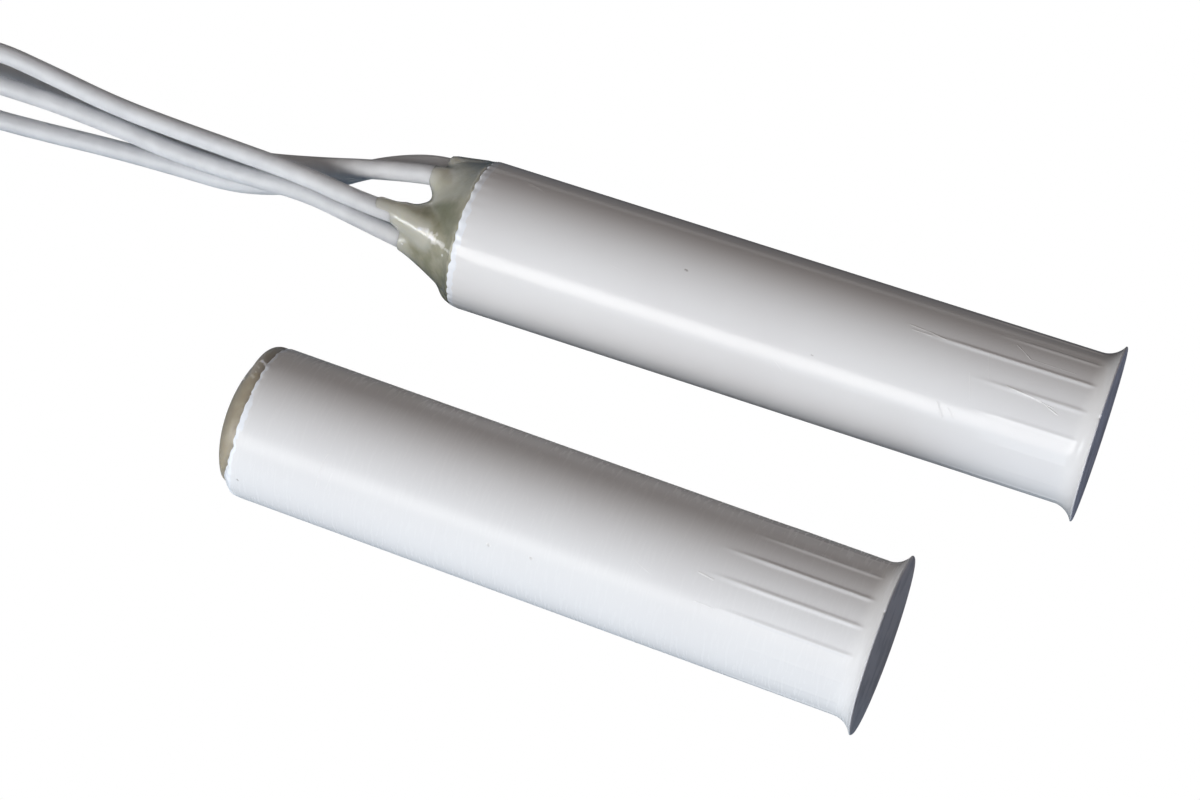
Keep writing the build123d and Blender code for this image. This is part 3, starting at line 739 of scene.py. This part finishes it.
def cloudy_resin(name, coat, roughness, deep, pale, film, painted_glints):
    """Cloudy resin: mottled and speckled, darker where it is murky, paler where it is only a film, and paler
    along the switch's top edge, which is painted light. The white marks are painted highlights.
    """
    look = Look(bpy.data.materials.new(name))
    place = look.coordinates()
    cloud = look.noise(place, 420.0, 4.0, 0.6)
    fine = look.noise(place, 1600.0, 3.0, 0.55)
    thick = look.mix(look.remap(cloud, 0.3, 0.7), deep, pale)
    speckled = look.mix(look.remap(fine, 0.45, 0.75) * 0.35, thick, SPECKLE)
    dark = look.mix(look.attribute("murky") * 0.85, speckled, MURK)
    filmed = look.mix(look.attribute("film_and_lit_top") * 0.75, dark, film)
    waves = look.bump(look.noise(place, 300.0, 2.0), 0.1 * MM, 0.5)
    look.fill("Principled BSDF", {
        # Painted highlights: white glints and streaks laid over the resin's colour
        "Base Color": look.mix(look.marked(look.millimetres(), painted_glints), filmed, PAINTED_GLINT_WHITE),
        "Roughness": roughness,
        "Subsurface Weight": 0.75,
        "Subsurface Radius": (1.6 * MM, 1.5 * MM, 1.1 * MM),
        "Subsurface Scale": 1.0,
        "Coat Weight": coat,
        "Coat Roughness": 0.2,
        "Normal": look.bump(fine, 0.05 * MM, 0.45, waves),
    })
    return look


switch_look = cloudy_resin(
    "switch_resin", coat=0.8, roughness=0.26,
    deep=(0.23, 0.23, 0.16), pale=(0.40, 0.39, 0.31), film=(0.575, 0.575, 0.525), painted_glints=SWITCH_PAINTED_GLINTS,
)
potting(
    "switch_resin", "switch_potting", SWITCH, switch_look, switch_resin,
    low=(-4.2, -4.2, 33.2), high=(4.2, 4.2, 40.4), plug_end=33.9, film_and_lit_top=film_and_painted_top_light, murky=murk_near_web,
)


# Resin of the magnet: the same compound, browner here, poured behind the bar magnet. It stands in a low dome
# out to the rim, and it has run over the edge at the top, where it lies as a bead on the chamfer.
DOME_RADIUS = 3.95
DOME_RISE = 1.62
DOME_BASE = 33.45
BARE_STRIP = 0.49
RUN_OVER = radians(140)
BEAD_SPREAD = radians(46)
BEAD_RADIUS = 3.42
BEAD_DEPTH = 33.8
BEAD_THICKNESS = 0.42
CHAMFER_INSIDE = 2.7
CHAMFER_FADE = 0.5
RUN_HALF_WIDTH = 2.6
RUN_FADE = 0.2
# Painted highlights on the magnet's resin, two bright glints and three faint pale streaks: ends in the shared
# frame, a half width and a strength
MAGNET_PAINTED_GLINTS = [
    ((-19.375, -5.202, 7.58), (-19.076, -5.38, 7.70), 0.10, 1.0),
    ((-20.069, -6.083, 6.893), (-19.85, -6.38, 7.3), 0.10, 1.0),
    ((-19.939, -5.408, 6.90), (-19.301, -6.02, 7.825), 0.07, 0.35),
    ((-19.85, -5.30, 7.15), (-19.268, -5.734, 7.778), 0.06, 0.3),
    ((-19.941, -5.741, 7.044), (-19.309, -6.359, 7.875), 0.07, 0.3),
]


def magnet_resin(points):
    """Distance to the magnet's resin: a low cap out to the rim, with a bead run over the edge at the top."""
    x, y, u = points[..., 0], points[..., 1], points[..., 2]
    across, angle = np.hypot(x, y), np.arctan2(y, x)
    cap = (np.hypot(across / DOME_RADIUS, (u - DOME_BASE) / DOME_RISE) - 1.0) * DOME_RISE
    off = (angle - RUN_OVER) / BEAD_SPREAD
    thick = BEAD_THICKNESS * np.sqrt(np.clip(1.0 - off * off, 0.0, 1.0))
    bead = np.hypot(across - BEAD_RADIUS, u - BEAD_DEPTH) - thick
    edge = DOME_RADIUS - BARE_STRIP * low_side(angle) + RAGGED_RADIUS * ring_noise(33, angle, 14)
    return np.maximum(np.maximum(melt(cap, bead, 0.3), across - edge), RESIN_BASE - u)


def thin_on_chamfer(point):
    """1 where the resin has run thinly over the pale chamfer, 0 on the dome."""
    over = point.x * cos(RUN_OVER) + point.y * sin(RUN_OVER)
    aside = abs(point.x * sin(RUN_OVER) - point.y * cos(RUN_OVER))
    rim = within((Vector((point.x, point.y)).length - CHAMFER_INSIDE) / CHAMFER_FADE)
    return rim * within((RUN_HALF_WIDTH - aside) / RUN_FADE) if over > 0 else 0.0


magnet_look = cloudy_resin(
    "magnet_resin", coat=0.15, roughness=0.42,
    deep=(0.30, 0.265, 0.205), pale=(0.36, 0.32, 0.25), film=(0.33, 0.31, 0.285), painted_glints=MAGNET_PAINTED_GLINTS,
)
potting(
    "magnet_resin", "magnet_potting", MAGNET, magnet_look, magnet_resin,
    low=(-4.2, -4.2, 33.0), high=(4.2, 4.2, 36.2), plug_end=33.6, film_and_lit_top=thin_on_chamfer, murky=no_murk,
)


# Small pieces that stay as the CAD has them: the reed's glass capsule and alloy blades, the soldered joints and
# tinned copper cores cast in the resin, the bar magnet, the stripped ends of the leads and the plastic tie.
def plain(name, colour, roughness, metallic=0.0, alpha=1.0):
    """A finish that is the same all over."""
    look = Look(bpy.data.materials.new(name))
    values = {"Base Color": colour, "Roughness": roughness, "Metallic": metallic, "Alpha": alpha}
    look.fill("Principled BSDF", values)
    return look


CORES_AND_TIPS = [f"{pair}_{piece}" for piece in ("core", "tip") for pair in ("alarm", "tamper")]
CAD_LOOKS = [
    (["reed_glass"], plain("capsule_glass", (0.55, 0.7, 0.6), 0.05, alpha=0.4)),
    (["reed_blade_front", "reed_blade_rear"], plain("reed_alloy", (0.6, 0.58, 0.55), 0.3, 1.0)),
    (["solder_joint_front", "solder_joint_rear", "solder_joint_tamper"],
     plain("solder", (0.62, 0.63, 0.64), 0.35, 1.0)),
    ([name + side for name in CORES_AND_TIPS for side in ("_a", "_b")],
     plain("tinned_copper", (0.75, 0.75, 0.74), 0.3, 1.0)),
    (["magnet"], plain("magnet_alloy", (0.05, 0.05, 0.055), 0.5)),
    (["lead_tie"], plain("tie_plastic", (0.75, 0.75, 0.72), 0.45)),
]
for names, look in CAD_LOOKS:
    for name in names:
        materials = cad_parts[name].data.materials
        materials.clear()
        materials.append(look.owner)


# Light: three softboxes and a dim room. The key light is broad and stands low in front, as the shading
# across the barrels shows. A cooler one lies lower still, and a small one stands low at the left.
LAMP_DISTANCE = 0.5
KEY_HEIGHT = radians(29)
LOW_HEIGHT = radians(10)


def softbox(name, way, width, height, power, colour):
    """A rectangular lamp that faces the object. Its sizes are in metres."""
    data = bpy.data.lights.new(name, "AREA")
    data.shape = "RECTANGLE"
    data.size = width
    data.size_y = height
    data.energy = power
    data.color = colour
    lamp = bpy.data.objects.new(name, data)
    lamp.location = way.normalized() * LAMP_DISTANCE
    lamp.rotation_euler = way.to_track_quat("Z", "Y").to_euler()
    bpy.context.collection.objects.link(lamp)


softbox("key", Vector((-0.3, -cos(KEY_HEIGHT), sin(KEY_HEIGHT))), 0.32, 0.16, 1.82, (1.0, 0.985, 0.965))
softbox("low", Vector((0.1, -cos(LOW_HEIGHT), sin(LOW_HEIGHT))), 0.32, 0.17, 0.66, (0.84, 0.93, 1.0))
softbox("side", Vector((-0.89, -0.435, 0.13)), 0.16, 0.1, 0.52, (0.93, 0.97, 1.0))

# The room is brighter to the right, where the front faces look, and bluer towards the front right
room = Look(bpy.data.worlds.new("world"))
around = room.node("TexCoord", {}, {}, "Generated")
right = room.node("SeparateXYZ", {}, {"Vector": around}, "X")
back = room.node("SeparateXYZ", {}, {"Vector": around}, "Y")
blue = room.remap(right - back, 0.4, 0.95, kind="LINEAR")
room.fill("Background", {
    "Strength": room.remap(right, -0.2, 0.8, 0.19, 0.29, kind="LINEAR"),
    "Color": room.mix(blue, (1.0, 0.87, 0.78), (0.70, 0.77, 1.0)),
})
bpy.context.scene.world = room.owner

# Floor: pure white to the camera, to rays through clear pieces, and in reflections of its far part. Within
# an oval round the object reflections find shaded paper instead, which keeps the flanges' faces dark.
# The paper's dark blue is painted shade: it stands for the shaded floor in those reflections and in all the
# light that the floor bounces.
FLOOR_REACH = 4.0
SHADED_OVAL = (0.075, 0.045)
paper = Look(bpy.data.materials.new("paper"))
# Painted shade: dark blue paper in place of the white floor in its shade
painted_shade_sheet = paper.fill("Principled BSDF", {"Base Color": (0.03, 0.10, 0.18), "Roughness": 0.9})
white = paper.node("Emission", {}, {"Color": (1, 1, 1), "Strength": 1.0})
footprint = paper.vector("MULTIPLY", paper.coordinates(), (1 / SHADED_OVAL[0], 1 / SHADED_OVAL[1], 0))
further_off = paper.remap(paper.node("VectorMath", {"operation": "LENGTH"}, {0: footprint}, "Value"), 1.0, 1.8)
camera_ray, through, mirrored = [
    paper.node("LightPath", {}, {}, kind) for kind in ("Is Camera Ray", "Is Transmission Ray", "Is Glossy Ray")
]
seen_white = paper.most(paper.most(camera_ray, through), mirrored * further_off)
paper.fill("Material Output", {"Surface": paper.node("MixShader", {}, {0: seen_white, 1: painted_shade_sheet, 2: white})})
ground = bmesh.new()
bmesh.ops.create_grid(ground, x_segments=1, y_segments=1, size=FLOOR_REACH)
floor_mesh = bpy.data.meshes.new("floor")
ground.to_mesh(floor_mesh)
ground.free()
floor_mesh.materials.append(paper.owner)
floor = bpy.data.objects.new("floor", floor_mesh)
bpy.context.collection.objects.link(floor)

bpy.context.scene.view_settings.view_transform = "Standard"
